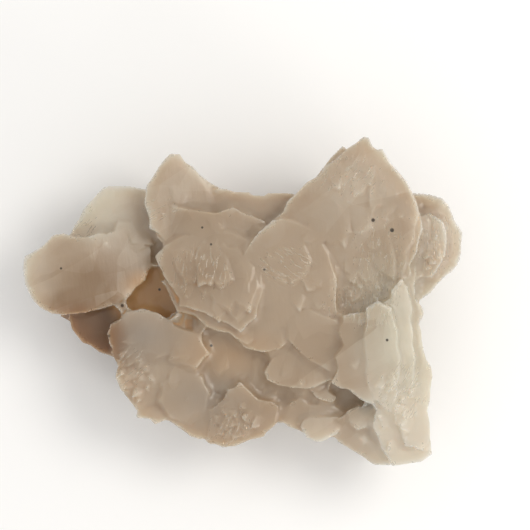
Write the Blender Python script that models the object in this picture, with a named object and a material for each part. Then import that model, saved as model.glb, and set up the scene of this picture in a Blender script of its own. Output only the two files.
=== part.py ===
"""Bladed selenite crystal cluster, lying on the flat break where it left its rock.

It is one grown piece: a massive core with tabular blades fused to it. The big blades are drawn in plan,
looking straight down on the cluster. Each is a book of plates: a tilted face plate with a toothed knife
edge and a few cut facets, a smaller and steeper plate behind it, and a root that runs into the core.
Plan places are in millimetres: +X to the right, +Y away, +Z up from the table.
"""

import math
import random

import bmesh
import bpy
from mathutils import Matrix, Vector

MM = 0.001

# Driving dimensions, in millimetres.
CORE_CENTRE = (2.0, -2.0)
CORE_HEIGHTS = (-6.0, 3.0, 10.0, 15.0, 19.0)
CORE_SCALES = (0.62, 0.71, 0.79, 0.74, 0.56)
CORE_ROUGHNESS = 1.6
CORE_SEED = 11
TOOTH_PITCH = 3.1
TOOTH_DEPTH = 0.6
FACE_INSET = 0.7
FACE_RISE = 0.3
FOOT_INSET = 2.9
FAN_PITCH = 6.5
FAN_SCALE = 0.86
FAN_DROP = 0.75
FAN_LEAN = 0.16
FACET_LEAN = (3.0, 8.0)
NECK_SIDES = 7
NECK_TOP_SCALE = 0.66
NECK_FOOT_SCALE = 0.4
NECK_FOOT_HEIGHT = 5.0
NECK_LEAST_HEIGHT = 3.0
NECK_REACH = 1.5
ROOT_PULL = 0.35
TABLE_CUT = 60.0
WELD = 0.004
MOST_TRIANGLES = 9800

# Plan outline of the whole cluster, which the core follows at a smaller scale.
CORE_OUTLINE = [
    (-47, 8), (-40, 19), (-26, 25), (-17, 31), (-5, 25), (10, 25), (24, 32), (36, 27), (48, 20), (50, 8),
    (43, -4), (42, -20), (43, -36), (33, -37), (20, -31), (5, -31), (-8, -31), (-24, -25), (-29, -16),
    (-38, -8), (-48, 0),
]


def heading(degrees):
    return Vector((math.cos(math.radians(degrees)), math.sin(math.radians(degrees))))


class Blade:
    """A tabular crystal: plan outline, height of its face at the outline's middle, slope and thickness.

    A facet is a place on the face, the heading that it falls towards and how far it leans from the face.
    """

    def __init__(
        self, outline, height, slope, uphill, thickness, tooth=1.0, inset=1.0, facets=(), backed=True
    ):
        self.outline = [Vector(point) for point in outline]
        self.height = height
        self.gradient = heading(uphill) * math.tan(math.radians(slope))
        self.thickness = thickness
        self.tooth = tooth
        self.inset = inset
        self.facets = list(facets)
        self.backed = backed

    @property
    def middle(self):
        return sum(self.outline, Vector((0.0, 0.0))) / len(self.outline)

    def face_height(self, point):
        return self.height + self.gradient.dot(point - self.middle)

    def leaning(self, outline, height, lean, thickness, tooth, inset):
        """Another plate like this one, with its slope changed by the plan vector lean."""
        other = Blade(outline, height, 0, 0, thickness, tooth, inset)
        other.gradient = self.gradient + lean
        return other


# The big blades, from the raised right side round to the left, each with its plan outline.
BLADES = {
    "peak": Blade(
        [(29.5, 41.5), (30.8, 41.2), (32.2, 37.6), (34.2, 38.1), (36.2, 34.4), (37.6, 32.7), (39.2, 30.4),
         (40.0, 30.2), (41.4, 27.4), (43.0, 23.5), (42.4, 18.5), (40.8, 10.0), (39.8, 3.5), (36.8, -2.8),
         (29.5, -3.5), (21.8, -8.8), (11.8, -4.5), (6.0, 5.0), (5.0, 14.0), (7.0, 20.3), (12.5, 27.0),
         (15.0, 29.8), (18.0, 31.3), (22.3, 35.5), (25.5, 38.5)],
        34.5, 11, 55, 4.5, 1.5, 1.0, [((24.0, 30.0), 128, 14), ((38.0, 12.0), 345, 10), ((28, 2.0), 262, 8)]),
    "peak_under": Blade(
        [(33.0, 36.2), (36.6, 33.8), (38.8, 31.4), (40.6, 28.9), (42.6, 25.2), (43.7, 21.5), (43.4, 15.0),
         (41.6, 6.0), (34.0, 4.0), (28.0, 16.0), (28.0, 30.0)],
        34.2, 12, 50, 4.0, 1.4, 1.0, backed=False),
    "oval": Blade(
        [(7.0, 20.3), (3.5, 17.5), (0.5, 13.5), (-1.3, 9.3), (-1.8, 4.3), (1.0, -1.5), (6.8, -5.8),
         (14.3, -8.3), (20.5, -9.5), (23.0, -2.0), (23.0, 5.5), (21.0, 11.8), (18.8, 15.5), (16.0, 18.6),
         (11.8, 20.2)],
        31.8, 6, 70, 4.0, 0.4, 0.8, [((3.0, 8.0), 185, 7)]),
    "left_flake": Blade(
        [(-22.8, 11.3), (-21.3, 8.0), (-17.8, 2.5), (-16.5, 0.5), (-16.5, -1.5), (-14.0, -1.8), (-7.0, -4.8),
         (-0.8, -8.3), (3.0, -4.5), (4.8, 3.0), (4.8, 11.8), (-0.8, 16.8), (-7.0, 18.0), (-13.3, 16.8),
         (-19.5, 14.3)],
        30.4, 5, 330, 4.0, 1.2, 1.0, [((-14.0, 7.0), 200, 6), ((-6.0, 13.0), 80, 7)]),
    "left_under": Blade(
        [(-21.0, 5.0), (-18.6, 1.0), (-17.0, -2.6), (-12.6, -3.6), (-9.6, -6.4), (-4.0, -8.0), (0.6, -11.0),
         (4.0, -6.0), (-2.0, 2.0), (-12.0, 7.0)],
        28.6, 5, 290, 3.6, 1.2, 0.9, backed=False),
    "shade_plate": Blade(
        [(-23.3, 21.5), (-21.5, 23.3), (-18.3, 24.0), (-10.8, 22.5), (-7.0, 22.0), (-2.8, 23.5), (6.8, 20.0),
         (3.8, 14.0), (-2.0, 8.0), (-10.8, 8.0), (-18.3, 10.8), (-22.8, 15.8)],
        29.1, 4, 330, 4.0, 0.7, 0.9, [((-18.0, 19.0), 160, 8)]),
    "upper_tip": Blade(
        [(-25.0, 28.8), (-23.0, 31.3), (-21.8, 33.5), (-18.8, 36.8), (-16.3, 36.8), (-13.0, 33.5),
         (-9.0, 29.8), (-5.3, 27.8), (-2.8, 27.3), (0.5, 21.8), (-0.8, 15.5), (-10.8, 13.0), (-19.5, 14.3),
         (-23.8, 18.0), (-25.3, 24.3)],
        27.0, 8, 200, 4.5, 1.0, 1.1, [((-21.0, 29.0), 160, 14), ((-9.0, 27.0), 35, 12)]),
    "upper_left": Blade(
        [(-43.8, 16.5), (-42.8, 19.0), (-40.3, 23.3), (-38.3, 25.3), (-35.5, 28.5), (-34.0, 29.0),
         (-27.0, 28.8), (-22.5, 28.0), (-19.3, 24.5), (-19.8, 18.5), (-23.3, 13.5), (-30.8, 12.3),
         (-38.3, 12.0)],
        22.4, 7, 80, 4.5, 0.8, 1.4, [((-29.0, 25.0), 80, 12)]),
    "left_lobe": Blade(
        [(-55.8, 8.5), (-55.3, 11.2), (-52.0, 12.9), (-48.0, 16.8), (-45.3, 17.1), (-43.3, 16.3),
         (-39.5, 16.0), (-31.5, 18.0), (-23.8, 20.3), (-22.3, 16.8), (-22.8, 8.5), (-24.5, 4.8),
         (-31.3, -0.5), (-37.0, -2.4), (-43.3, -3.5), (-48.3, -3.3), (-51.3, -1.5), (-53.5, 0.8),
         (-55.3, 4.5)],
        25.6, 6, 215, 6.5, 0.8, 1.4,
        [((-42.0, 12.0), 112, 9), ((-49.0, 4.0), 180, 7), ((-40.0, 1.0), 275, 8)]),
    "low_left": Blade(
        [(-44.3, -4.0), (-43.5, -7.0), (-40.8, -10.5), (-36.5, -13.0), (-32.3, -14.5), (-25.0, -14.5),
         (-18.0, -9.0), (-15.0, -1.0), (-17.0, 4.5), (-25.8, 7.5), (-35.0, 4.5), (-41.5, 0.5)],
        18.5, 8, 225, 4.0, 0.9, 1.0),
    "cap": Blade(
        [(-34.8, -8.3), (-33.8, -5.8), (-31.3, -4.5), (-29.8, -2.8), (-25.8, -1.8), (-22.0, -2.8),
         (-18.3, -5.0), (-16.3, -7.8), (-15.8, -10.8), (-17.8, -12.8), (-22.0, -14.6), (-26.3, -15.6),
         (-29.8, -15.8), (-32.8, -13.3)],
        26.2, 6, 120, 4.5, 0.6, 1.4, [((-20.0, -8.0), 345, 9), ((-26.0, -12.0), 262, 11)]),
    "lower_left": Blade(
        [(-33.8, -12.5), (-31.8, -16.0), (-32.5, -18.5), (-31.0, -22.5), (-28.8, -23.5), (-28.0, -26.0),
         (-27.0, -27.5), (-24.0, -26.0), (-16.0, -22.0), (-8.0, -18.0), (-7.0, -13.0), (-11.5, -9.6),
         (-19.5, -7.8), (-28.8, -8.0)],
        24.6, 8, 130, 4.5, 1.2, 1.0, [((-12.0, -16.0), 320, 7)]),
    "lower_shelf": Blade(
        [(-30.6, -23.0), (-28.0, -26.0), (-27.0, -27.5), (-27.3, -29.3), (-23.8, -29.5), (-22.5, -31.0),
         (-19.5, -29.7), (-15.8, -32.3), (-10.8, -34.8), (-7.0, -32.0), (-5.8, -25.8), (-8.0, -19.0),
         (-16.0, -17.0), (-25.0, -18.0)],
        22.8, 8, 200, 4.5, 1.2, 1.0),
    "small_wing": Blade(
        [(-22.0, -6.6), (-18.0, -6.0), (-14.4, -7.4), (-10.8, -8.4), (-10.4, -10.6), (-8.6, -13.4),
         (-12.0, -17.0), (-19.0, -15.0)],
        25.6, 5, 60, 4.0, 1.0, 1.0, backed=False),
    "lower_lump": Blade(
        [(-21.0, -20.4), (-16.5, -17.2), (-10.5, -18.6), (-8.4, -23.0), (-9.5, -28.3), (-13.3, -31.6),
         (-18.8, -29.4), (-22.0, -25.0)],
        23.9, 6, 120, 4.0, 1.0, 1.2, [((-14.0, -28.0), 280, 10)]),
    "bottom_flake": Blade(
        [(-8.8, -27.3), (-5.3, -24.5), (-4.3, -22.0), (-2.6, -21.6), (-1.3, -20.0), (0.3, -21.5),
         (3.3, -24.5), (7.8, -25.5), (9.0, -26.5), (8.3, -31.2), (5.8, -33.0), (4.9, -34.2), (1.3, -34.8),
         (-2.3, -36.5), (-5.8, -36.8), (-9.6, -34.8)],
        24.4, 12, 75, 4.0, 1.0, 0.9, [((4.0, -29.0), 340, 12)]),
    "flake_left": Blade(
        [(-13.0, -33.2), (-11.6, -29.6), (-8.6, -26.6), (-5.0, -25.0), (-2.0, -30.0), (-4.4, -35.6),
         (-8.8, -36.2)],
        22.6, 11, 100, 4.0, 1.0, 1.0, backed=False),
    "middle_lobe": Blade(
        [(-3.8, -2.0), (-3.3, -7.0), (-1.8, -10.3), (0.5, -12.0), (4.8, -12.8), (8.8, -12.3),
         (11.3, -9.8), (15.3, -7.0), (15.3, 1.5), (6.8, 4.0), (-0.8, 3.5)],
        29.6, 7, 50, 4.0, 0.6, 1.1),
    "inner_lobe": Blade(
        [(4.8, -17.8), (5.5, -19.8), (8.0, -21.0), (11.8, -21.8), (16.3, -22.0), (20.5, -20.5),
         (24.3, -17.0), (25.0, -10.0), (20.3, -6.3), (13.0, -7.3), (9.5, -11.5), (6.0, -15.5)],
        27.8, 8, 45, 4.0, 0.9, 1.0, [((19.0, -15.0), 330, 8)]),
    "streak_blade": Blade(
        [(10.6, -3.0), (16.0, -2.0), (22.6, -4.6), (26.8, -9.0), (26.4, -16.0), (22.3, -18.3),
         (18.8, -16.3), (13.3, -12.5), (10.8, -9.8)],
        30.3, 8, 60, 4.0, 0.8, 0.9, backed=False),
    "column_left": Blade(
        [(24.3, -3.4), (24.5, -5.0), (23.3, -7.5), (24.6, -10.8), (22.4, -13.8), (23.2, -16.4),
         (22.8, -18.0), (21.3, -20.7), (25.8, -22.3), (31.8, -26.5), (33.6, -22.0), (33.2, -10.0),
         (31.8, -2.6)],
        31.9, 8, 30, 4.5, 1.0, 0.9, [((26.0, -18.0), 250, 10)]),
    "column_middle": Blade(
        [(30.0, -1.6), (33.0, 0.2), (36.5, -1.5), (38.2, -8.0), (38.7, -16.0), (38.0, -24.0),
         (36.5, -29.0), (33.3, -26.5), (30.8, -21.0), (29.8, -12.0)],
        33.0, 6, 120, 4.5, 0.7, 0.9, [((35.0, -18.0), 285, 9)]),
    "column_right": Blade(
        [(36.3, 2.5), (39.0, 6.0), (41.3, 1.0), (42.0, -8.0), (42.3, -17.0), (41.0, -24.0),
         (38.3, -28.0), (36.3, -20.0), (35.6, -8.0)],
        32.0, 10, 165, 5.0, 0.8, 0.8),
    "right_strip": Blade(
        [(38.8, 10.0), (41.3, 11.8), (42.8, 8.0), (42.3, 1.0), (44.4, -1.8), (44.6, -3.4), (43.0, -4.8),
         (44.0, -7.5), (45.2, -14.6), (46.4, -16.2), (46.4, -21.5), (45.5, -27.5), (46.3, -34.5),
         (44.5, -38.0), (39.8, -36.5), (36.0, -24.5), (35.5, -14.5), (36.5, -4.5)],
        29.8, 14, 175, 5.5, 0.9, 0.8),
    "corner_plate": Blade(
        [(32.3, -28.0), (35.5, -25.4), (39.3, -24.0), (43.0, -25.3), (45.8, -29.5), (46.4, -34.5),
         (46.8, -38.3), (44.3, -40.2), (40.5, -40.8), (36.8, -41.3), (35.3, -38.8), (33.3, -34.5),
         (31.8, -31.3)],
        28.2, 12, 120, 5.0, 0.8, 1.0),
    "corner_under": Blade(
        [(23.0, -29.5), (26.8, -26.5), (33.3, -26.0), (37.3, -31.0), (38.5, -38.3), (36.3, -41.2),
         (32.3, -41.3), (29.5, -39.3), (26.3, -37.3), (23.0, -35.3), (21.8, -32.5)],
        25.2, 11, 55, 4.5, 1.1, 1.0, [((30.0, -35.0), 235, 12)]),
    "corner_chip": Blade(
        [(25.6, -27.4), (28.4, -26.2), (32.0, -27.4), (31.0, -31.4), (28.0, -32.4), (26.2, -30.4)],
        26.4, 14, 300, 3.0, 0.6, 0.7, backed=False),
    "right_back": Blade(
        [(38.3, 25.0), (41.8, 27.4), (44.5, 27.0), (49.5, 25.5), (51.0, 24.3), (53.0, 20.5), (55.5, 17.5),
         (55.3, 13.8), (54.3, 8.0), (49.5, 4.8), (47.9, 3.0), (46.3, 0.5), (43.3, -1.8), (39.3, 1.0),
         (36.8, 12.0)],
        28.0, 10, 25, 4.5, 1.1, 1.3, [((47.0, 18.0), 350, 17), ((46.0, 10.0), 280, 12)]),
    "right_leaf": Blade(
        [(40.6, 20.6), (46.0, 22.4), (49.6, 19.6), (50.4, 14.4), (49.0, 9.4), (46.8, 5.6), (41.0, 5.0)],
        29.8, 11, 25, 3.6, 1.1, 0.9, backed=False),
    "round_tab": Blade(
        [(13.8, -31.5), (14.5, -29.8), (16.5, -28.9), (20.3, -29.1), (23.3, -28.9), (24.3, -30.5),
         (23.6, -33.0), (19.8, -35.0), (17.8, -35.3), (15.4, -34.2)],
        25.4, 9, 280, 3.5, 0.35, 0.8),
    "tab_back": Blade(
        [(8.3, -29.5), (9.3, -27.5), (11.3, -25.3), (13.8, -24.4), (16.3, -26.0), (23.5, -26.8),
         (26.5, -29.5), (24.0, -34.3), (16.8, -34.5), (11.0, -31.6)],
        23.8, 9, 95, 4.0, 1.0, 1.0, [((12.0, -28.0), 160, 14)]),
    "leaf": Blade(
        [(16.2, -22.3), (18.3, -21.7), (20.4, -22.3), (23.4, -24.2), (21.8, -25.6), (18.3, -24.6)],
        25.4, 8, 160, 3.6, 0.25, 0.45, backed=False),
    "top_ridge": Blade(
        [(-10.5, 26.0), (-7.5, 28.5), (-2.8, 27.4), (1.0, 27.3), (1.8, 26.5), (4.8, 26.3), (6.0, 27.0),
         (12.5, 26.9), (18.8, 21.8), (16.3, 11.0), (4.3, 8.8), (-6.5, 13.5)],
        26.6, 5, 100, 4.5, 0.5, 1.1, [((2.0, 23.0), 85, 10)]),
    "hollow_floor": Blade(
        [(-18.0, -5.0), (-12.0, -2.0), (-4.0, -4.5), (3.0, -9.0), (8.0, -14.0), (9.0, -21.0), (4.0, -27.0),
         (-3.0, -28.5), (-9.5, -26.0), (-14.5, -20.0), (-16.5, -12.0)],
        23.4, 8, 60, 4.0, 0.5, 1.0),
    "lower_floor": Blade(
        [(1.5, -24.0), (2.0, -15.0), (6.0, -10.5), (14.0, -11.5), (25.0, -12.0), (31.0, -20.0), (31.5, -28.0),
         (25.0, -31.5), (15.0, -30.5), (7.5, -30.5), (2.0, -28.5)],
        23.2, 6, 100, 4.0, 0.5, 1.0),
    "gap_floor": Blade(
        [(-31.5, 2.0), (-28.0, 7.5), (-24.0, 15.0), (-17.0, 13.0), (-11.0, 4.0), (-11.5, -7.5), (-18.5, -10.5),
         (-29.0, -5.5)],
        20.4, 5, 45, 4.0, 0.5, 1.0),
}

# Small blades that stand out of the flanks, in rings round the core: height, count, reach, size.
FLANK_RINGS = [
    (3.5, 15, 0.72, 8.0),
    (9.5, 15, 0.80, 8.6),
    (16.0, 12, 0.74, 7.6),
]
FLANK_SEED = 7
FLANK_CORNERS = [
    (-0.9, -0.5), (-0.1, -0.72), (0.7, -0.5), (1.05, -0.05), (0.8, 0.45), (-0.1, 0.68), (-0.9, 0.5),
]
FLANK_THICKNESS = 0.34
FLANK_PITCH = (-28, 22)
FLANK_ROLL = (-75, 75)
FLANK_YAW = (-32, 32)


def clear_scene():
    for obj in list(bpy.data.objects):
        bpy.data.objects.remove(obj)


def crystal_material():
    material = bpy.data.materials.new("milky_selenite")
    material.use_nodes = True
    shader = material.node_tree.nodes["Principled BSDF"]
    shader.inputs["Base Color"].default_value = (0.74, 0.66, 0.55, 1.0)
    shader.inputs["Roughness"].default_value = 0.32
    shader.inputs["Metallic"].default_value = 0.0
    return material


def mesh_object(name, rings):
    """A closed solid through rings of points, from the lowest ring to the highest."""
    mesh = bpy.data.meshes.new(name)
    build = bmesh.new()
    loops = [[build.verts.new(point * MM) for point in ring] for ring in rings]
    count = len(loops[0])
    for low, high in zip(loops, loops[1:]):
        for i in range(count):
            j = (i + 1) % count
            build.faces.new((low[i], low[j], high[j], high[i]))
    build.faces.new(list(reversed(loops[0])))
    build.faces.new(loops[-1])
    bmesh.ops.recalc_face_normals(build, faces=build.faces)
    bmesh.ops.triangulate(build, faces=build.faces)
    build.to_mesh(mesh)
    build.free()
    obj = bpy.data.objects.new(name, mesh)
    bpy.context.scene.collection.objects.link(obj)
    return obj


def toothed(outline, pitch, depth, dice):
    """The outline in steps of about pitch, and the same points pushed in and out by teeth."""
    smooth = []
    teeth = []
    sign = 1.0
    for start, end in zip(outline, outline[1:] + outline[:1]):
        side = end - start
        steps = max(1, round(side.length / pitch))
        outward = Vector((side.y, -side.x)).normalized()
        for i in range(steps):
            point = start + side * (i / steps)
            push = 0.0 if i == 0 else sign * depth * dice.uniform(0.35, 1.0)
            slip = 0.0 if i == 0 else dice.uniform(-0.2, 0.2) * pitch
            smooth.append(point)
            teeth.append(point + outward * push + side.normalized() * slip)
            sign = -sign
    return smooth, teeth


def anticlockwise(outline):
    area = sum(a.x * b.y - b.x * a.y for a, b in zip(outline, outline[1:] + outline[:1]))
    return outline if area > 0 else list(reversed(outline))


def pulled(outline, about, scale):
    return [about + (point - about) * scale for point in outline]


def slab(name, blade, pitch, dice):
    """One plate: a toothed knife-edged rim between a face just above it and a parallel foot below it."""
    outline = anticlockwise(blade.outline)
    smooth, rim = toothed(outline, pitch, TOOTH_DEPTH * blade.tooth, dice)
    middle = blade.middle
    reach = sum((point - middle).length for point in smooth) / len(smooth)
    face = pulled(smooth, middle, 1 - FACE_INSET * blade.inset / reach)
    foot = pulled(smooth, middle, 1 - FOOT_INSET * blade.inset / reach)
    rings = [
        [Vector((*p, blade.face_height(p) - blade.thickness)) for p in foot],
        [Vector((*p, blade.face_height(p))) for p in rim],
        [Vector((*p, blade.face_height(p) + FACE_RISE * blade.inset)) for p in face],
    ]
    return mesh_object(name, rings)


def fan_of(blade, dice):
    """The next plate of the same book, a little lower, shorter and steeper."""
    root = blade.middle.lerp(Vector(CORE_CENTRE), ROOT_PULL)
    turn = Matrix.Rotation(math.radians(dice.uniform(-9, 9)), 2)
    outline = [root + turn @ ((point - root) * FAN_SCALE) for point in blade.outline[::2]]
    middle = sum(outline, Vector((0.0, 0.0))) / len(outline)
    height = blade.face_height(middle) - blade.thickness * FAN_DROP - 1.0
    lean = blade.gradient.normalized() * FAN_LEAN * dice.uniform(0.3, 1.0)
    return blade.leaning(outline, height, lean, blade.thickness, 1.3, 1.2)


def neck(name, blade):
    """The stout root that joins a blade to the core, hidden under the blade."""
    outline = anticlockwise(blade.outline)
    step = max(1, len(outline) // NECK_SIDES)
    coarse = outline[::step]
    top = [
        Vector((*p, blade.face_height(p) - blade.thickness * 0.5))
        for p in pulled(coarse, blade.middle, NECK_TOP_SCALE)
    ]
    foot_height = min(NECK_FOOT_HEIGHT, min(point.z for point in top) - NECK_LEAST_HEIGHT)
    shift = (Vector(CORE_CENTRE) - blade.middle) * 2 * ROOT_PULL
    farthest = NECK_REACH * (blade.height - foot_height)
    if shift.length > farthest:
        shift.length = farthest
    foot = [blade.middle + shift + (point - blade.middle) * NECK_FOOT_SCALE for point in coarse]
    rings = [[Vector((*p, foot_height)) for p in foot], top]
    return mesh_object(name, rings)


def growth_facets(blade, dice):
    """Broad faces that lean a few degrees from the blade's own, as a crystal's growth leaves them."""
    reach = sum((point - blade.middle).length for point in blade.outline) / len(blade.outline)
    first = dice.uniform(0, 360)
    facets = []
    for turn in (0, 150):
        toward = first + turn + dice.uniform(-30, 30)
        place = blade.middle + heading(toward) * reach * dice.uniform(0.15, 0.5)
        facets.append((place, toward, dice.uniform(*FACET_LEAN)))
    return facets


def cut_facet(plate, blade, place, toward, lean):
    """Slices off what stands above a plane through a place on the blade's face."""
    top = blade.face_height(place) + FACE_RISE * blade.inset
    fall = toward * math.tan(math.radians(lean)) - blade.gradient
    build = bmesh.new()
    build.from_mesh(plate.data)
    everything = build.verts[:] + build.edges[:] + build.faces[:]
    cut = bmesh.ops.bisect_plane(
        build, geom=everything, dist=WELD * MM, clear_outer=True,
        plane_co=Vector((*place, top)) * MM, plane_no=Vector((*fall, 1.0)).normalized(),
    )
    rim = [item for item in cut["geom_cut"] if isinstance(item, bmesh.types.BMEdge)]
    bmesh.ops.triangulate(build, faces=bmesh.ops.edgeloop_fill(build, edges=rim)["faces"])
    bmesh.ops.recalc_face_normals(build, faces=build.faces)
    build.to_mesh(plate.data)
    build.free()


def book_of_plates(name, blade, dice):
    """A blade as it grows: its faceted face plate, the plate behind it and their root."""
    plate = slab(name, blade, TOOTH_PITCH, dice)
    for place, toward, lean in blade.facets + growth_facets(blade, dice):
        cut_facet(plate, blade, Vector(place), heading(toward), lean)
    made = [plate]
    if blade.backed:
        made.append(slab(name + "_fan", fan_of(blade, dice), FAN_PITCH, dice))
        made.append(neck(name + "_neck", blade))
    return made


def core_solid(dice):
    """The massive middle: rough rings, widest a third of the way up, with a broken flat foot."""
    centre = Vector(CORE_CENTRE)
    rings = []
    for height, scale in zip(CORE_HEIGHTS, CORE_SCALES):
        ring = []
        for corner in anticlockwise([Vector(point) for point in CORE_OUTLINE]):
            rough = Vector((dice.uniform(-1, 1), dice.uniform(-1, 1))) * CORE_ROUGHNESS
            place = centre + (corner - centre) * scale + rough
            ring.append(Vector((*place, height + dice.uniform(-0.3, 0.3) * CORE_ROUGHNESS)))
        rings.append(ring)
    return mesh_object("crystal_cluster", rings)


def flank_blades(dice):
    """Small plates that radiate from the core's flanks, turned about their own length."""
    centre = Vector(CORE_CENTRE)
    outline = anticlockwise([Vector(point) for point in CORE_OUTLINE])
    made = []
    for height, count, reach, size in FLANK_RINGS:
        for i in range(count):
            place = (i + dice.uniform(-0.25, 0.25)) / count * len(outline)
            low = int(place) % len(outline)
            corner = outline[low].lerp(outline[(low + 1) % len(outline)], place % 1)
            foot = centre + (corner - centre) * reach
            away = (corner - centre).normalized()
            radius = size * dice.uniform(0.8, 1.25)
            frame = (
                Matrix.Translation(Vector((*foot, height + dice.uniform(-1.5, 1.5))))
                @ Matrix.Rotation(math.atan2(away.y, away.x) + math.radians(dice.uniform(*FLANK_YAW)), 4, "Z")
                @ Matrix.Rotation(math.radians(dice.uniform(*FLANK_PITCH)), 4, "Y")
                @ Matrix.Rotation(math.radians(dice.uniform(*FLANK_ROLL)), 4, "X")
            )
            corners = [Vector(point) * radius * dice.uniform(0.88, 1.12) for point in FLANK_CORNERS]
            half = radius * FLANK_THICKNESS * 0.5
            rings = [
                [frame @ Vector((*(p * 0.8), -half)) for p in corners],
                [frame @ Vector((*p, 0.0)) for p in corners],
                [frame @ Vector((*(p * 0.8), half)) for p in corners],
            ]
            made.append(mesh_object(f"flank_{len(made):02d}", rings))
    return made


def table_cutter():
    """Everything below the table's height, which leaves the flat broken foot."""
    bpy.ops.mesh.primitive_cube_add(size=1)
    cutter = bpy.context.object
    cutter.name = "table_cutter"
    cutter.scale = (3 * TABLE_CUT * MM, 3 * TABLE_CUT * MM, TABLE_CUT * MM)
    cutter.location = (0, 0, -TABLE_CUT * MM / 2)
    return cutter


def helper(obj):
    obj.hide_render = True
    obj.display_type = "WIRE"


def fuse(body, pieces):
    """Joins the pieces to the body in one Boolean and takes them away."""
    group = bpy.data.collections.new("blades")
    bpy.context.scene.collection.children.link(group)
    for piece in pieces:
        bpy.context.scene.collection.objects.unlink(piece)
        group.objects.link(piece)
        helper(piece)
    join = body.modifiers.new("join_blades", "BOOLEAN")
    join.operation = "UNION"
    join.solver = "EXACT"
    join.operand_type = "COLLECTION"
    join.collection = group
    join.use_self = True


def cut_flat(body, cutter):
    helper(cutter)
    cut = body.modifiers.new("cut_flat", "BOOLEAN")
    cut.operation = "DIFFERENCE"
    cut.solver = "EXACT"
    cut.object = cutter


def fill_sealed_gaps(mesh):
    """Keeps the outer skin alone, so that a gap closed in between blades is solid crystal."""
    build = bmesh.new()
    build.from_mesh(mesh)
    bmesh.ops.remove_doubles(build, verts=build.verts, dist=WELD * MM)
    unseen = set(build.faces)
    shells = []
    while unseen:
        shell = {unseen.pop()}
        edge_of_shell = list(shell)
        while edge_of_shell:
            face = edge_of_shell.pop()
            near = {other for edge in face.edges for other in edge.link_faces} & unseen
            shell |= near
            unseen -= near
            edge_of_shell.extend(near)
        shells.append(shell)
    shells.sort(key=len)
    inner = [face for shell in shells[:-1] for face in shell]
    bmesh.ops.delete(build, geom=inner, context="FACES")
    build.to_mesh(mesh)
    build.free()


def bake(body):
    """Applies the Booleans and centres the plan on the origin, with the foot at height 0."""
    for modifier in list(body.modifiers):
        bpy.context.view_layer.objects.active = body
        bpy.ops.object.modifier_apply(modifier=modifier.name)
    fill_sealed_gaps(body.data)
    places = [vertex.co for vertex in body.data.vertices]
    middle_x = (min(p.x for p in places) + max(p.x for p in places)) / 2
    middle_y = (min(p.y for p in places) + max(p.y for p in places)) / 2
    body.data.transform(Matrix.Translation((-middle_x, -middle_y, 0)))
    triangles = sum(len(face.vertices) - 2 for face in body.data.polygons)
    if triangles > MOST_TRIANGLES:
        thin = body.modifiers.new("thin_out", "DECIMATE")
        thin.ratio = MOST_TRIANGLES / triangles
        bpy.ops.object.modifier_apply(modifier=thin.name)


def main():
    clear_scene()
    body = core_solid(random.Random(CORE_SEED))
    pieces = []
    for number, (name, blade) in enumerate(BLADES.items()):
        dice = random.Random(number)
        pieces += book_of_plates(name, blade, dice)
    pieces += flank_blades(random.Random(FLANK_SEED))
    fuse(body, pieces)
    cut_flat(body, table_cutter())
    bake(body)
    body.data.materials.append(crystal_material())


main()
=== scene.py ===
"""A bladed cluster of milky selenite, lying on its flat break on a pale studio floor.

The cluster is one grown piece. Its big blades come from the solid, and this script grows the fine ledges,
striations and rough patches on them, and gives them their milky, light-soaked crystal.
"""

import math
import random

import bpy
import numpy as np
from bpy.props import FloatProperty, FloatVectorProperty, IntProperty, PointerProperty
from bpy.types import Operator, Panel, PropertyGroup
from mathutils import Matrix, Quaternion, Vector
from mathutils.bvhtree import BVHTree


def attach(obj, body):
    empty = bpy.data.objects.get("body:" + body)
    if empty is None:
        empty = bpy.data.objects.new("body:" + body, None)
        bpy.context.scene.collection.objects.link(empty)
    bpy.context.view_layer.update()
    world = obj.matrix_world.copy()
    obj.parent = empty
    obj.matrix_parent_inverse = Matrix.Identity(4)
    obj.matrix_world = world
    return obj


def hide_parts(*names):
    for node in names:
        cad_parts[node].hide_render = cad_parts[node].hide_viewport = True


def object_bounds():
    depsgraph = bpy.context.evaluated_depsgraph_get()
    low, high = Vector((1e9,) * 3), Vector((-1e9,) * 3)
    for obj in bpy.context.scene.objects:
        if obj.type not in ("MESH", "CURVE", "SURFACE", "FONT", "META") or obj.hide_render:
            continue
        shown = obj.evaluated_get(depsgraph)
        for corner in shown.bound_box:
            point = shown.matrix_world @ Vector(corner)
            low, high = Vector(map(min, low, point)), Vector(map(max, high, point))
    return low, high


bl_info = {
    "name": "Milky Selenite Cluster",
    "version": (1, 0, 0),
    "blender": (4, 5, 0),
    "location": "View3D > Sidebar > Selenite",
    "description": "Blades of milky selenite grown together, on a pale studio floor",
    "category": "Object",
}

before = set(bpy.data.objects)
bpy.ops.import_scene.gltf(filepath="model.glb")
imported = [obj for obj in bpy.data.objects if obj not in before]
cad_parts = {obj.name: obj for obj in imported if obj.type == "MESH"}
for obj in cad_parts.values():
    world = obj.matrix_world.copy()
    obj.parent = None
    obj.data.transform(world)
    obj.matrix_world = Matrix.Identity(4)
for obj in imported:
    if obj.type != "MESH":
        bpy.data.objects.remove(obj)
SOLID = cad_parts["crystal_cluster"]
SOLID_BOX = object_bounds()
MM = 0.001

# Patches of short streaks in the faces, raised as bumps and lightened as painted glints: plan place, reach
# and heading of the streaks.
STREAK_AND_GLINT_PATCHES = [
    ((-10.0, 7.5), (9.0, 8.0), 82),
    ((34.0, 11.0), (8.0, 12.0), 84),
    ((30.0, -1.0), (12.0, 7.0), 92),
    ((-28.5, -16.5), (6.5, 6.0), 40),
    ((27.0, 31.0), (10.0, 6.0), 55),
    ((-41.0, 20.5), (5.0, 6.0), 50),
    ((-20.5, 23.0), (5.5, 3.5), 25),
    ((11.0, 9.0), (8.0, 6.0), 150),
    ((40.0, -22.0), (7.0, 9.0), 60),
    ((48.5, 14.5), (7.0, 9.0), 100),
    ((-3.0, -31.0), (7.0, 5.0), 70),
]

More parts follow.
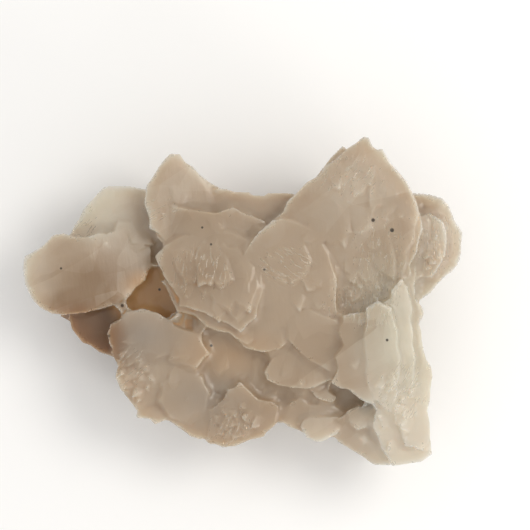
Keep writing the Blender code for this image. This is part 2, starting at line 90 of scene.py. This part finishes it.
# Rough patches where many small plates end: plan place and reach.
ROUGH_PATCHES = [
    ((47.5, 12.0), 8.0),
    ((40.5, -22.0), 7.5),
    ((-27.5, -18.0), 6.0),
    ((28.0, 2.0), 6.0),
    ((0.0, -31.0), 6.0),
    ((36.0, -31.0), 7.0),
]

# Dark mineral grains caught in the faces: plan place and radius in millimetres.
GRAINS = [
    ((32.5, 20.3), 0.55),
    ((37.2, 17.8), 0.6),
    ((-10.0, 18.5), 0.35),
    ((-7.8, 14.3), 0.35),
    ((-20.8, 3.0), 0.4),
    ((-30.0, -1.0), 0.5),
    ((-45.3, 8.3), 0.35),
    ((-33.3, -8.5), 0.4),
    ((-7.8, -11.0), 0.4),
    ((36.0, -9.5), 0.4),
    ((5.5, 8.0), 0.35),
]


# The left lobe's face, where no plates surface: plan place and reach.
SMOOTH_FACE = ((-42.0, 4.0), (17.0, 11.0))

# Soft clouds of colour: plan place, reach and strength.
# Browner clouds: a warmer tone in the middle, and painted shade on the left lobe, the plate behind it and the
# plate under the upper tip.
WARM_TONE_AND_SHADE_CLOUDS = [
    ((-12.0, 6.0), (14.0, 8.0), 0.55),
    ((-41.0, -9.0), (18.0, 13.0), 4.0),
    ((-36.0, 5.0), (16.0, 9.0), 1.3),
    ((-12.0, 20.0), (12.0, 7.0), 0.35),
]
# Paler clouds: partly paler clean crystal, partly painted light where light shines through the thin blades at
# the sides.
PALE_AND_BACKLIT_CLOUDS = [
    ((50.0, 16.0), (14.0, 18.0), 0.75),
    ((40.0, -14.0), (16.0, 22.0), 1.2),
    ((41.0, -32.0), (14.0, 16.0), 2.0),
    ((-36.0, 23.0), (17.0, 13.0), 1.2),
    ((-53.0, 9.0), (10.0, 12.0), 0.7),
    ((-17.0, 34.0), (13.0, 11.0), 0.35),
    ((28.0, 23.0), (13.0, 14.0), 0.35),
    ((19.0, -32.0), (11.0, 8.0), 0.6),
]
COOL_CLOUDS = [
    ((-25.0, -8.0), (12.0, 11.0), 1.02),
    ((-10.0, -24.0), (12.0, 8.0), 0.68),
]
GREEN_CLOUDS = [
    ((38.0, -3.0), (14.0, 22.0), 0.9),
    ((42.0, -20.0), (10.0, 14.0), 0.7),
    ((-40.0, 22.0), (12.0, 9.0), 0.6),
]
# Deep amber: an amber tone in the gap between the left lobe and the left flake, laid on more deeply down and
# in the joints as painted shade.
DEEP_AMBER_AND_SHADE_CLOUDS = [((-21.0, -0.5), (14.0, 10.0), 3.0)]
AMBER_CLOUDS = [((-3.0, -13.0), (16.0, 8.0), 0.4)]
# Painted shadow: a dark brown cast on the plate behind the left lobe, where the lobe shades it.
LOBE_SHADOW_CLOUDS = [((-40.0, -9.0), (12.0, 10.0), 2.5)]

# Colour of the mineral grains, and how sharply each one's rim ends.
GRAIN_COLOUR = (0.05, 0.035, 0.02)
GRAIN_STRENGTH = 3.0

# The plates that surface in the faces: their sizes in millimetres, how far they lean out of the face in
# degrees, and how deep their middle lies in it, as shares of their size.
BROAD_PLATES = {"sizes": (3.5, 7.5), "leans": (2.5, 4.5), "depths": (0.04, 0.08)}
SMALL_PLATES = {"sizes": (1.6, 3.2), "leans": (3.0, 6.0), "depths": (0.04, 0.08)}
ROUGH_PLATES = {"sizes": (1.2, 2.4), "leans": (6.0, 18.0), "depths": (0.02, 0.12)}

# A flake's corners, its flat sides' share of its breadth, and its length and width in units of its size.
FLAKE_CORNERS = 7
FLAKE_FLAT = 0.86
FLAKE_LENGTH, FLAKE_WIDTH = 1.25, 0.85

# Grain of the joint filling, how far it stays under the faces, and how deep the foot is cut.
FILLING_GRAIN = 0.7 * MM
FILLING_SINK = 0.1 * MM
FOOT_CUT = 0.3 * MM

# How far the finished surface may stand out of the solid's box.
BOX_MARGIN = 0.4 * MM

# Where a ray starts to look down on the cluster, clear above it.
ABOVE = 0.05

# Heights between which the amber, laid on deep in the gap partly as painted shade, fades out.
AMBER_AND_SHADE_LEVELS = (23.5 * MM, 26.0 * MM)

# Depth past which the crystal counts as thick, and as far as it is looked into.
THICK = 16 * MM
LOOK_IN = 30 * MM


class CrystalSettings(PropertyGroup):
    """Sizes and colours of the crystal."""

    grain_size: FloatProperty(
        name="Finest Detail", description="Size of the smallest ledge that is kept",
        default=0.27 * MM, min=0.2 * MM, subtype="DISTANCE", unit="LENGTH",
    )
    broad_flakes: IntProperty(
        name="Broad Flakes", description="Wide, thin plates that lie on the big faces as low ledges",
        default=34, min=0,
    )
    small_flakes: IntProperty(
        name="Small Flakes", description="Small plates that surface in the big faces",
        default=50, min=0,
    )
    rough_flakes: IntProperty(
        name="Rough Flakes", description="Small tilted plates in the rough patches",
        default=130, min=0,
    )
    flank_flakes: IntProperty(
        name="Flakes on Flanks", description="Thin plates that stand out of the sides",
        default=240, min=0,
    )
    joint_fill: FloatProperty(
        name="Joint Fill", description="Gaps between blades that are narrower than twice this are filled",
        default=1.8 * MM, min=0, subtype="DISTANCE", unit="LENGTH",
    )
    waviness: FloatProperty(
        name="Waviness", description="How far the faces swell and dip",
        default=0.18 * MM, subtype="DISTANCE", unit="LENGTH",
    )
    growth_step: FloatProperty(
        name="Growth Step", description="Height of the fine steps that growth leaves on a face",
        default=0.14 * MM, subtype="DISTANCE", unit="LENGTH",
    )
    most_triangles: IntProperty(
        name="Most Triangles", description="The finished cluster is thinned to this many triangles",
        default=190000, min=10000,
    )
    milk: FloatVectorProperty(
        name="Milk", description="Colour of the milky body of the blades",
        default=(0.53, 0.415, 0.30), subtype="COLOR", min=0, max=1,
    )
    # Core colour: partly the crystal's own warmer tone, partly painted shade on the shaded plates and in the
    # joints.
    warm_tone_and_shade: FloatVectorProperty(
        name="Warm Core", description="Colour of the thick, stained crystal between the blades",
        default=(0.37, 0.25, 0.15), subtype="COLOR", min=0, max=1,
    )
    # Pale colour: partly clean crystal, partly painted light in the thin blades and on the rims; the painted
    # glints take it too.
    pale: FloatVectorProperty(
        name="Pale Rim", description="Colour of the thin, clean blades at the sides",
        default=(0.74, 0.67, 0.56), subtype="COLOR", min=0, max=1,
    )
    # Amber: partly an amber tone of the crystal, partly painted shade deep in the gap and the joints.
    amber: FloatVectorProperty(
        name="Amber", description="Colour of the stained crystal deep between the blades",
        default=(0.58, 0.34, 0.15), subtype="COLOR", min=0, max=1,
    )
    # Painted shadow colour: the plate behind the left lobe, where the lobe shades it.
    lobe_shadow: FloatVectorProperty(
        name="Stain", description="Colour of the darkest plate, behind the left lobe",
        default=(0.30, 0.165, 0.08), subtype="COLOR", min=0, max=1,
    )
    cool: FloatVectorProperty(
        name="Cool Cloud", description="Colour of the greyer clouds at the lower left",
        default=(0.43, 0.36, 0.29), subtype="COLOR", min=0, max=1,
    )
    green: FloatVectorProperty(
        name="Green Cast", description="Colour of the faint green cast in the clean blades",
        default=(0.60, 0.59, 0.47), subtype="COLOR", min=0, max=1,
    )


class StudioSettings(PropertyGroup):
    """Floor and light."""

    floor: FloatVectorProperty(
        name="Floor", description="Colour of the floor", default=(0.93, 0.93, 0.93),
        subtype="COLOR", min=0, max=1,
    )
    key_power: FloatProperty(
        name="Key Light", description="Power of the big soft light, in watts", default=1.3, min=0,
    )
    fill_strength: FloatProperty(
        name="Fill", description="Strength of the even light from all round", default=0.82, min=0,
    )


def choose(obj):
    """Makes this the only selected and the active object."""
    bpy.ops.object.select_all(action="DESELECT")
    obj.hide_viewport = False
    obj.select_set(True)
    bpy.context.view_layer.objects.active = obj


def apply_modifier(obj, kind, **settings):
    choose(obj)
    modifier = obj.modifiers.new(kind.lower(), kind)
    for name, value in settings.items():
        setattr(modifier, name, value)
    bpy.ops.object.modifier_apply(modifier=modifier.name)


def copy_of_solid(name):
    """A welded copy of the fused solid to grow the fine surface on."""
    body = SOLID.copy()
    body.data = SOLID.data.copy()
    body.name = name
    body.parent = None
    for key in list(body.keys()):
        if key.startswith("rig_"):
            del body[key]
    bpy.context.scene.collection.objects.link(body)
    choose(body)
    bpy.ops.object.mode_set(mode="EDIT")
    bpy.ops.mesh.select_all(action="SELECT")
    bpy.ops.mesh.remove_doubles(threshold=0.001 * MM)
    bpy.ops.object.mode_set(mode="OBJECT")
    return body


def joint_filling(body, reach):
    """The crystal that closes the joints between blades: the solid swollen, then shrunk back as far."""
    filling = body.copy()
    filling.data = body.data.copy()
    bpy.context.scene.collection.objects.link(filling)
    apply_modifier(filling, "REMESH", mode="VOXEL", voxel_size=FILLING_GRAIN)
    apply_modifier(filling, "DISPLACE", strength=reach, mid_level=0.0)
    apply_modifier(filling, "REMESH", mode="VOXEL", voxel_size=FILLING_GRAIN)
    apply_modifier(filling, "DISPLACE", strength=-reach - FILLING_SINK, mid_level=0.0)
    return filling


def model_flake():
    """One thin plate with a sharp, uneven rim, a unit across, that every flake is a copy of."""
    bpy.ops.object.select_all(action="DESELECT")
    bpy.ops.mesh.primitive_cylinder_add(vertices=FLAKE_CORNERS, radius=1.0, depth=0.16)
    flake = bpy.context.object
    flake.name = "flake_pattern"
    bpy.ops.object.mode_set(mode="EDIT")
    bpy.ops.mesh.select_all(action="SELECT")
    bpy.ops.mesh.bisect(plane_co=(0, 0, 0), plane_no=(0, 0, 1))
    bpy.ops.object.mode_set(mode="OBJECT")
    for vertex in flake.data.vertices:
        if abs(vertex.co.z) > 0.01:
            vertex.co.x *= FLAKE_FLAT
            vertex.co.y *= FLAKE_FLAT
    return flake


def flake_copy(pattern, matrix, dice):
    """A copy of the flake with a mesh and an outline of its own."""
    flake = pattern.copy()
    flake.data = pattern.data.copy()
    bpy.context.scene.collection.objects.link(flake)
    stretch = [dice.uniform(0.72, 1.25) for _ in range(FLAKE_CORNERS)]
    for vertex in flake.data.vertices:
        turn = math.atan2(vertex.co.y, vertex.co.x) % (2 * math.pi)
        place = round(turn / (2 * math.pi) * FLAKE_CORNERS) % FLAKE_CORNERS
        vertex.co.x *= stretch[place] * FLAKE_LENGTH
        vertex.co.y *= stretch[place] * FLAKE_WIDTH
    flake.data.transform(matrix)
    return flake


def lying_on(normal, along):
    """The turn that lays a plate on a face with its length as near to a direction as it goes."""
    across = normal.cross(along)
    if across.length < 0.01:
        across = normal.orthogonal()
    across.normalize()
    length = across.cross(normal).normalized()
    return Matrix((length, across, normal)).transposed().to_4x4()


def lies_flat(body, place, normal, reach, allowance):
    """Whether the face goes on in its own plane all round a place, as far as reach."""
    for step in range(6):
        turn = step * math.pi / 3
        side = place + Vector((math.cos(turn), math.sin(turn), 0)) * reach
        hit, there, _, _ = body.ray_cast(side + Vector((0, 0, ABOVE)), Vector((0, 0, -1)))
        if not hit or abs((there - place).dot(normal)) > allowance:
            return False
    return True


def run_of_growth(place):
    """The heading, in degrees, that the growth lines take at a place in plan."""
    if place.x > -22 * MM and place.y > -22 * MM:
        return 96
    return 150 if place.y > 0 else 28


def on_smooth_face(place):
    """Whether a place lies in the part of the faces that stays smooth."""
    (x, y), (length, width) = SMOOTH_FACE
    return ((place.x / MM - x) / length) ** 2 + ((place.y / MM - y) / width) ** 2 < 1


def grow_face_flakes(body, pattern, count, plates, patches, dice):
    """Plates that surface at a shallow angle in the faces, all over or in patches only."""
    sizes, leans, depths = plates["sizes"], plates["leans"], plates["depths"]
    low, high = SOLID_BOX
    made = []
    while len(made) < count:
        if patches:
            (x, y), reach = dice.choice(patches)
            turn, share = dice.uniform(0, 2 * math.pi), dice.uniform(0, 1) ** 0.6
            plan = Vector((x + math.cos(turn) * reach * share, y + math.sin(turn) * reach * share)) * MM
        else:
            plan = Vector((dice.uniform(low.x, high.x), dice.uniform(low.y, high.y)))
        hit, place, normal, _ = body.ray_cast(Vector((*plan, high.z + 0.01)), Vector((0, 0, -1)))
        size = dice.uniform(*sizes) * MM
        if not hit or on_smooth_face(place):
            continue
        if normal.z < 0.6 or not lies_flat(body, place, normal, size * 1.15, size * 0.12):
            continue
        turn = math.radians(run_of_growth(place) + dice.gauss(0, 22))
        along = Vector((math.cos(turn), math.sin(turn), 0))
        lean = Quaternion(normal.cross(along).normalized(), math.radians(dice.uniform(*leans)))
        tip = Quaternion(along, math.radians(dice.gauss(0, leans[0])))
        matrix = (
            Matrix.Translation(place - normal * size * dice.uniform(*depths))
            @ (lean @ tip).to_matrix().to_4x4()
            @ lying_on(normal, along)
            @ Matrix.Diagonal((size, size * 0.8, size, 1))
        )
        made.append(flake_copy(pattern, matrix, dice))
    return made


def covered(body, place):
    """Whether a blade hangs over a place, so that the outline from above stays as it is."""
    hit, roof, _, _ = body.ray_cast(Vector((place.x, place.y, 0.1)), Vector((0, 0, -1)))
    return hit and roof.z > place.z


def grow_flank_flakes(body, pattern, count, dice):
    """Small plates that stand out of the sides, fanning away from the middle."""
    low, high = SOLID_BOX
    middle = (low + high) / 2
    made = []
    for _ in range(count * 30):
        if len(made) == count:
            break
        turn = dice.uniform(0, 2 * math.pi)
        height = dice.uniform(1.5 * MM, high.z * 0.75)
        start = Vector((middle.x + math.cos(turn) * 0.12, middle.y + math.sin(turn) * 0.12, height))
        aside, ahead = dice.uniform(-30, 30) * MM, dice.uniform(-15, 15) * MM
        target = Vector((middle.x + aside, middle.y + ahead, height))
        hit, place, normal, _ = body.ray_cast(start, (target - start).normalized())
        if not hit or abs(normal.z) > 0.8:
            continue
        outward = Vector((normal.x, normal.y, 0)).normalized()
        if body.ray_cast(place + outward * MM, outward)[0]:
            continue
        size = dice.uniform(3.5, 8.0) * MM
        along = (outward + Vector((0, 0, dice.uniform(-0.08, 0.2)))).normalized()
        face = Vector((dice.gauss(0, 0.12), dice.gauss(0, 0.12), 1))
        face = (face - along * face.dot(along)).normalized()
        matrix = (
            Matrix.Translation(place - along * size * dice.uniform(0.6, 0.85))
            @ lying_on(face, along)
            @ Matrix.Diagonal((size, size * 1.4, size * dice.uniform(1.0, 1.8), 1))
        )
        flake = flake_copy(pattern, matrix, dice)
        if all(covered(body, vertex.co) for vertex in flake.data.vertices):
            made.append(flake)
        else:
            bpy.data.objects.remove(flake)
    return made


def keep_inside(body, margin):
    """Draws in whatever stands out past the solid's box by more than the margin."""
    low, high = SOLID_BOX
    for vertex in body.data.vertices:
        for axis in range(3):
            vertex.co[axis] = min(max(vertex.co[axis], low[axis] - margin), high[axis] + margin)


def flatten_foot(body, depth):
    """Cuts the uneven underside off level and drops the cut to the floor."""
    choose(body)
    bpy.ops.object.mode_set(mode="EDIT")
    bpy.ops.mesh.select_all(action="SELECT")
    bpy.ops.mesh.bisect(plane_co=(0, 0, depth), plane_no=(0, 0, 1), clear_inner=True, use_fill=True)
    bpy.ops.transform.translate(value=(0, 0, -depth))
    bpy.ops.mesh.select_all(action="SELECT")
    bpy.ops.mesh.quads_convert_to_tris()
    bpy.ops.mesh.normals_make_consistent(inside=False)
    bpy.ops.object.mode_set(mode="OBJECT")


def store(body, name, values):
    body.data.attributes.new(name, "FLOAT", "POINT").data.foreach_set("value", values.astype(np.float32))


def survey_surface(body):
    """Stores how far each point stands out as a rim or lies in a joint, and how thin the crystal is."""
    mesh = body.data
    count = len(mesh.vertices)
    places, normals = np.empty(count * 3), np.empty(count * 3)
    mesh.vertices.foreach_get("co", places)
    mesh.vertices.foreach_get("normal", normals)
    places, normals = places.reshape(-1, 3), normals.reshape(-1, 3)
    edges = np.empty(len(mesh.edges) * 2, dtype=np.int64)
    mesh.edges.foreach_get("vertices", edges)
    start, end = np.concatenate((edges.reshape(-1, 2), edges.reshape(-1, 2)[:, ::-1])).T
    neighbours = np.maximum(np.bincount(start, minlength=count), 1)

    def around(values):
        return np.bincount(start, weights=values[end], minlength=count) / neighbours

    level = np.stack([around(places[:, axis]) for axis in range(3)], axis=1)
    bulge = np.einsum("ij,ij->i", places - level, normals)
    span = around(np.linalg.norm(places - level, axis=1)) + 0.05 * MM
    relief = np.clip(bulge / span, -1, 1)
    tree = BVHTree.FromObject(body, bpy.context.evaluated_depsgraph_get())
    thin = np.empty(count)
    for index, (place, normal) in enumerate(zip(places.tolist(), normals.tolist())):
        inward = -Vector(normal)
        depth = tree.ray_cast(Vector(place) + inward * 0.05 * MM, inward, LOOK_IN)[3]
        thin[index] = 1 - min((depth or LOOK_IN) / THICK, 1)
    for _ in range(3):
        relief = (relief + around(relief)) / 2
        thin = (thin + around(thin)) / 2
    store(body, "relief", relief)
    store(body, "thinness", thin)


def stepped_texture(name, size, turbulence):
    texture = bpy.data.textures.new(name, "MARBLE")
    texture.marble_type = "SHARPER"
    texture.noise_basis_2 = "SAW"
    texture.noise_scale = size
    texture.turbulence = turbulence
    return texture


def cloud_texture(name, size, depth):
    texture = bpy.data.textures.new(name, "CLOUDS")
    texture.noise_scale = size
    texture.noise_depth = depth
    return texture


def push_out(body, texture, strength, guide=None):
    """Moves the surface along its normals by a texture, laid out along a guide if there is one."""
    settings = {"texture": texture, "strength": strength, "mid_level": 0.5}
    if guide:
        settings.update(texture_coords="OBJECT", texture_coords_object=guide)
    apply_modifier(body, "DISPLACE", **settings)


def growth_guide(name, turn, stretch):
    """An empty whose length gives the run of the growth lines."""
    guide = bpy.data.objects.new(name, None)
    bpy.context.scene.collection.objects.link(guide)
    guide.rotation_euler = (0.12, -0.1, math.radians(turn))
    guide.scale = stretch
    bpy.context.view_layer.update()
    return guide


class Value:
    """A shader socket that Python's arithmetic works on: each operation adds its Math node."""

    def __init__(self, shader, socket):
        self.shader = shader
        self.socket = socket

    def maths(self, operation, *others):
        return self.shader.node("ShaderNodeMath", {"operation": operation}, self, *others)

    def __add__(self, other):
        return self.maths("ADD", other)

    def __mul__(self, other):
        return self.maths("MULTIPLY", other)

    def __sub__(self, other):
        return self.maths("SUBTRACT", other)

    def __rsub__(self, other):
        return self.shader.node("ShaderNodeMath", {"operation": "SUBTRACT"}, other, self)

    __radd__ = __add__
    __rmul__ = __mul__

    def clamped(self):
        return self.shader.node("ShaderNodeClamp", {}, self, 0.0, 1.0)

    def between(self, low, high):
        """0 at low, 1 at high, easing in and out."""
        settings = {"interpolation_type": "SMOOTHSTEP", "clamp": True}
        return self.shader.node("ShaderNodeMapRange", settings, self, low, high, 0.0, 1.0)


class Shader:
    """A material's node tree, written as expressions."""

    def __init__(self, name):
        self.material = bpy.data.materials.new(name)
        self.material.use_nodes = True
        self.tree = self.material.node_tree
        self.surface = self.tree.nodes["Principled BSDF"]
        self.place = self.node("ShaderNodeTexCoord", {}, output="Object")

    def node(self, kind, settings, *values, output=0, **named):
        made = self.tree.nodes.new(kind)
        for name, value in settings.items():
            setattr(made, name, value)
        pairs = list(zip([s for s in made.inputs if s.enabled], values))
        pairs += [(made.inputs[name], value) for name, value in named.items()]
        for socket, value in pairs:
            self.give(socket, value)
        return Value(self, made.outputs[output])

    def give(self, socket, value):
        if isinstance(value, Value):
            self.tree.links.new(value.socket, socket)
        else:
            socket.default_value = value

    def set(self, **values):
        for name, value in values.items():
            self.give(self.surface.inputs[name.replace("_", " ")], value)

    def blend(self, factor, first, second):
        """The first colour where factor is 0, the second where it is 1."""
        made = self.tree.nodes.new("ShaderNodeMix")
        made.data_type = "RGBA"
        for socket, value in zip((made.inputs[0], made.inputs[6], made.inputs[7]), (factor, first, second)):
            self.give(socket, value)
        return Value(self, made.outputs[2])

    def zone(self, place, reach):
        """1 at a place in plan, in millimetres, falling to 0 at its reach, whatever the height."""
        reach = reach if isinstance(reach, tuple) else (reach, reach)
        local = self.node(
            "ShaderNodeMapping", {"vector_type": "TEXTURE"}, Vector=self.place,
            Location=(place[0] * MM, place[1] * MM, 0.0), Scale=(reach[0] * MM, reach[1] * MM, 1.0),
        )
        return self.node("ShaderNodeTexGradient", {"gradient_type": "SPHERICAL"}, Vector=local, output="Fac")

    def clouds(self, table):
        """The sum of a table's zones, each times its strength."""
        total = None
        for place, reach, strength in table:
            cloud = self.zone(place, reach) * strength
            total = cloud if total is None else total + cloud
        return total

    def turned(self, place, turn, stretch):
        """Plan coordinates about a place, with the first axis along a heading and drawn out by stretch."""
        return self.node(
            "ShaderNodeMapping", {"vector_type": "TEXTURE"}, Vector=self.place,
            Location=(place[0] * MM, place[1] * MM, 0.0), Rotation=(0.0, 0.0, math.radians(turn)),
            Scale=(stretch, 1.0, 1.0),
        )

    def noise(self, size, detail=2.0, rough=0.5, vector=None, distortion=0.0):
        """Soft noise whose lumps are about size millimetres across."""
        return self.node(
            "ShaderNodeTexNoise", {}, Vector=vector or self.place, Scale=1.0 / (size * MM), Detail=detail,
            Roughness=rough, Distortion=distortion, output="Fac",
        )

    def cells(self, size):
        """Straight-edged patches about size millimetres across, each with a tone of its own from 0 to 1."""
        vector = self.turned((0.0, 0.0), 40.0, 1.7)
        return self.node("ShaderNodeTexVoronoi", {}, Vector=vector, Scale=1.0 / (size * MM), output="Color")

    def attribute(self, name):
        return self.node("ShaderNodeAttribute", {"attribute_name": name}, output="Fac")


def rgba(colour):
    return (*colour, 1.0)


def streaks(shader):
    """Short streaks in their patches, each patch with a heading of its own, used as bumps and as painted
    glints.
    """
    total = None
    for place, reach, heading in STREAK_AND_GLINT_PATCHES:
        run = shader.turned(place, heading, 5.0)
        dashes = shader.noise(0.55, detail=1.0, vector=run, distortion=0.4).between(0.57, 0.66)
        patch = (shader.zone(place, reach) * 1.8).clamped()
        dashes = dashes * patch
        total = dashes if total is None else total + dashes
    return total.clamped()


def milky_crystal(settings):
    """Milky selenite: waxy, light-soaked, warmer where it is thick and paler in the thin blades; painted
    shade lies in the joints, the deep gap and the shaded plates, and painted light in the thin blades, on the
    rims and in the glints.
    """
    shader = Shader("milky_selenite")
    veins = shader.noise(9.0, detail=3.0, rough=0.6, distortion=0.6)
    fine = shader.noise(2.2, detail=3.0, rough=0.65)
    relief = shader.attribute("relief")
    # Thinness: thin crystal is made paler and less brown, partly the lighter colour of thin crystal, partly
    # painted light shining through it.
    thin = shader.attribute("thinness")
    level = shader.node("ShaderNodeSeparateXYZ", {}, shader.place, output="Z")
    # Deep: the low places in the gap, where the amber is laid on as painted shade.
    deep = 1.0 - level.between(*AMBER_AND_SHADE_LEVELS)
    # Rims: convex edges, made paler as a painted highlight.
    rim = relief.between(0.02, 0.3)
    # Joints: concave creases between plates, made browner and more amber as painted shade.
    joint = (0.0 - relief).between(0.05, 0.35)
    veils = (shader.cells(13.0) - 0.5) * 1.4 + (shader.cells(6.0) - 0.5) * 0.8
    # Browner colour: from the clouds of warmer tone and painted shade, from painted shade in the joints, and
    # less of it where the crystal is thin.
    warmth_and_shade = shader.clouds(WARM_TONE_AND_SHADE_CLOUDS) + (veins - 0.5) * 0.4 - veils * 0.4
    warmth_and_shade = (warmth_and_shade + joint * 0.6 - thin * 0.3).clamped()
    # Paler colour: from the clouds of paler tone and painted backlight, from random veils, from painted
    # highlights on the rims and painted light in thin crystal.
    paleness_and_backlight = shader.clouds(PALE_AND_BACKLIT_CLOUDS) + (veins - 0.5) * 0.4 + (fine - 0.5) * 0.2 + veils * 0.42
    paleness_and_backlight = (paleness_and_backlight + rim * 0.35 + thin * 0.2 - 0.1).clamped()
    colour = shader.blend(warmth_and_shade, rgba(settings.milk), rgba(settings.warm_tone_and_shade))
    colour = shader.blend(paleness_and_backlight, colour, rgba(settings.pale))
    colour = shader.blend(shader.clouds(COOL_CLOUDS).clamped(), colour, rgba(settings.cool))
    # Amber in the deep gap and the joints, partly painted shade, and a faint amber tone in the hollow.
    amber = shader.clouds(DEEP_AMBER_AND_SHADE_CLOUDS) * (deep + joint) + shader.clouds(AMBER_CLOUDS)
    colour = shader.blend(amber.clamped(), colour, rgba(settings.amber))
    # Painted shadow on the plate behind the left lobe.
    colour = shader.blend(shader.clouds(LOBE_SHADOW_CLOUDS).clamped(), colour, rgba(settings.lobe_shadow))
    green = shader.clouds(GREEN_CLOUDS) * (veins + 0.3) * 0.6
    colour = shader.blend(green.clamped(), colour, rgba(settings.green))
    facing = shader.node("ShaderNodeNewGeometry", {}, output="Normal")
    upward = shader.node("ShaderNodeSeparateXYZ", {}, facing, output="Z").between(0.5, 0.8)
    grains = shader.clouds([(place, radius, GRAIN_STRENGTH) for place, radius in GRAINS])
    colour = shader.blend((grains * upward).clamped(), colour, rgba(GRAIN_COLOUR))
    glints = streaks(shader)
    # Painted glints: the streaks lighten the colour toward the pale tone.
    colour = shader.blend(glints * 0.45, colour, rgba(settings.pale))
    growth = shader.noise(0.8, detail=3.0, vector=shader.turned((0.0, 0.0), 96.0, 8.0))
    height = growth * 0.45 + fine * 0.35 + glints * 0.9
    bump = shader.node("ShaderNodeBump", {}, Strength=0.3, Distance=0.3 * MM, Height=height, output="Normal")
    shader.set(
        Base_Color=colour,
        Roughness=0.33 + (fine - 0.5) * 0.2 - glints * 0.18 - rim * 0.06,
        Normal=bump,
        IOR=1.52,
        Specular_IOR_Level=0.5,
        Transmission_Weight=0.34,
        Subsurface_Weight=1.0,
        Subsurface_Radius=(1.0, 0.9, 0.8),
        Subsurface_Scale=6.0 * MM,
    )
    return shader.material


class SELENITE_OT_cluster(Operator):
    """Grows the fine surface of the cluster on the fused solid"""

    bl_idname = "selenite.cluster"
    bl_label = "Crystal Cluster"

    def execute(self, context):
        settings = context.scene.selenite_crystal
        body = copy_of_solid("selenite_cluster")
        pattern = model_flake()
        flakes = grow_face_flakes(body, pattern, settings.broad_flakes, BROAD_PLATES, None, random.Random(3))
        flakes += grow_face_flakes(body, pattern, settings.small_flakes, SMALL_PLATES, None, random.Random(4))
        flakes += grow_face_flakes(
            body, pattern, settings.rough_flakes, ROUGH_PLATES, ROUGH_PATCHES, random.Random(6)
        )
        flakes += grow_flank_flakes(body, pattern, settings.flank_flakes, random.Random(5))
        bpy.data.objects.remove(pattern)
        filling = joint_filling(body, settings.joint_fill)
        filling.select_set(True)
        body.select_set(True)
        for flake in flakes:
            flake.select_set(True)
        bpy.context.view_layer.objects.active = body
        bpy.ops.object.join()
        apply_modifier(body, "REMESH", mode="VOXEL", voxel_size=settings.grain_size)
        apply_modifier(body, "SMOOTH", factor=0.4, iterations=1)
        guide = growth_guide("growth_run", 6, (1, 6, 1))
        push_out(body, cloud_texture("swell", 8 * MM, 2), settings.waviness)
        push_out(body, stepped_texture("growth_steps", 2.6 * MM, 5), settings.growth_step, guide)
        bpy.data.objects.remove(guide)
        flatten_foot(body, FOOT_CUT)
        keep_inside(body, BOX_MARGIN)
        triangles = sum(len(face.vertices) - 2 for face in body.data.polygons)
        if triangles > settings.most_triangles:
            apply_modifier(body, "DECIMATE", ratio=settings.most_triangles / triangles)
        survey_surface(body)
        choose(body)
        bpy.ops.object.shade_smooth_by_angle(angle=math.radians(38))
        body.data.materials.clear()
        body.data.materials.append(milky_crystal(settings))
        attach(body, "root")
        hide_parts("crystal_cluster")
        return {"FINISHED"}


class SELENITE_OT_studio(Operator):
    """Sets up the pale floor, the soft light and the camera that looks straight down"""

    bl_idname = "selenite.studio"
    bl_label = "Studio"

    def execute(self, context):
        settings = context.scene.selenite_studio
        scene = context.scene
        bpy.ops.object.select_all(action="DESELECT")
        bpy.ops.mesh.primitive_plane_add(size=3.0, location=(0, 0, 0))
        floor = context.object
        floor.name = "studio_floor"
        shader = Shader("floor_paper")
        shader.set(Base_Color=rgba(settings.floor), Roughness=0.8)
        floor.data.materials.append(shader.material)
        self.add_light("key", (0.34, 0.14, 0.52), 0.30, settings.key_power, (1.0, 0.96, 0.90))
        self.add_light("low_side", (0.40, -0.35, 0.22), 0.20, settings.key_power * 0.45, (1.0, 0.97, 0.94))
        world = bpy.data.worlds.new("soft_room")
        world.use_nodes = True
        background = world.node_tree.nodes["Background"]
        background.inputs["Color"].default_value = (1.0, 0.99, 0.97, 1.0)
        background.inputs["Strength"].default_value = settings.fill_strength
        scene.world = world
        self.add_camera(scene)
        scene.view_settings.view_transform = "Standard"
        return {"FINISHED"}

    def add_light(self, name, place, size, power, colour):
        light = bpy.data.lights.new(name, "AREA")
        light.shape = "DISK"
        light.size = size
        light.energy = power
        light.color = colour
        lamp = bpy.data.objects.new(name, light)
        bpy.context.scene.collection.objects.link(lamp)
        lamp.location = place
        aim = Vector((0, 0, 0.02)) - Vector(place)
        lamp.rotation_euler = aim.to_track_quat("-Z", "Y").to_euler()

    def add_camera(self, scene):
        """A long lens straight above, so that the cluster keeps its plan."""
        distance = 1.5
        width = 132.5 * MM
        data = bpy.data.cameras.new("overhead")
        data.lens = data.sensor_width * distance / width
        camera = bpy.data.objects.new("overhead", data)
        scene.collection.objects.link(camera)
        camera.location = (5.65 * MM, 9.15 * MM, 25 * MM + distance)
        scene.camera = camera


class SELENITE_PT_panel(Panel):
    """Sizes, colours and the buttons that build the cluster and its studio"""

    bl_label = "Milky Selenite Cluster"
    bl_idname = "SELENITE_PT_panel"
    bl_space_type = "VIEW_3D"
    bl_region_type = "UI"
    bl_category = "Selenite"

    def draw(self, context):
        layout = self.layout
        for settings, operator in (
            (context.scene.selenite_crystal, SELENITE_OT_cluster),
            (context.scene.selenite_studio, SELENITE_OT_studio),
        ):
            box = layout.box()
            for name in settings.__annotations__:
                box.prop(settings, name)
            box.operator(operator.bl_idname)


CLASSES = (CrystalSettings, StudioSettings, SELENITE_OT_cluster, SELENITE_OT_studio, SELENITE_PT_panel)


def register():
    for item in CLASSES:
        bpy.utils.register_class(item)
    bpy.types.Scene.selenite_crystal = PointerProperty(type=CrystalSettings)
    bpy.types.Scene.selenite_studio = PointerProperty(type=StudioSettings)


def unregister():
    del bpy.types.Scene.selenite_studio
    del bpy.types.Scene.selenite_crystal
    for item in reversed(CLASSES):
        bpy.utils.unregister_class(item)


def main():
    register()
    bpy.ops.selenite.cluster()
    bpy.ops.selenite.studio()


if __name__ == "__main__":
    main()
